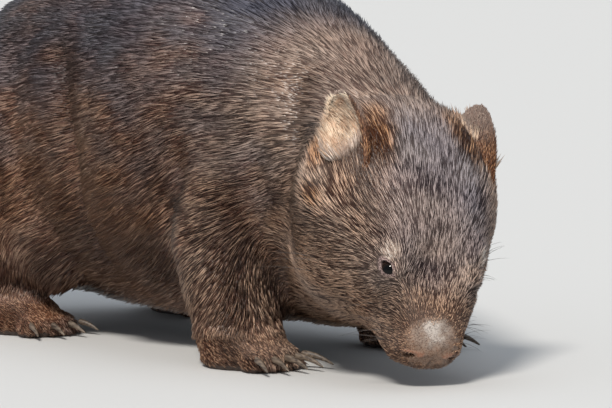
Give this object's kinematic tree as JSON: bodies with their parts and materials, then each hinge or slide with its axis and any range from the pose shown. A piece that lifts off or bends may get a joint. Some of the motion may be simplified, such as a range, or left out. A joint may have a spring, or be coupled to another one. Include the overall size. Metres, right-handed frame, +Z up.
{
  "type": "common wombat, still life-size model",
  "caption": "Stout burrowing animal grazing, head lowered and turned to its right, short round ears, bare nose, short strong legs with long digging claws.",
  "frame": {"origin": "on the floor, under the middle of the animal's box", "axes": "+X forwards along the body towards the head, +Y the animal's left, +Z up"},
  "size_m": [0.7912, 0.3312, 0.3686],
  "materials": {
    "coat": "short coarse dark brown coat with fine tan strands",
    "ear": "short warm brown hair, cream hair inside the cup",
    "nose_skin": "bare granular skin, slightly moist",
    "eye": "wet, near black",
    "claw": "worn horn"
  },
  "bodies": {
    "root": {"torso": "coat", "neck": "coat", "head": "coat", "nose": "nose_skin", "tail": "coat", "ear_left": "ear", "ear_right": "ear", "eye_left": "eye", "eye_right": "eye", "fore_leg_left": "coat", "fore_foot_left": "coat", "fore_claw_left_1": "claw", "fore_claw_left_2": "claw", "fore_claw_left_3": "claw", "fore_claw_left_4": "claw", "fore_claw_left_5": "claw", "fore_leg_right": "coat", "fore_foot_right": "coat", "fore_claw_right_1": "claw", "fore_claw_right_2": "claw", "fore_claw_right_3": "claw", "fore_claw_right_4": "claw", "fore_claw_right_5": "claw", "hind_leg_left": "coat", "hind_foot_left": "coat", "hind_claw_left_1": "claw", "hind_claw_left_2": "claw", "hind_claw_left_3": "claw", "hind_claw_left_4": "claw", "hind_leg_right": "coat", "hind_foot_right": "coat", "hind_claw_right_1": "claw", "hind_claw_right_2": "claw", "hind_claw_right_3": "claw", "hind_claw_right_4": "claw"}
  },
  "joints": []
}
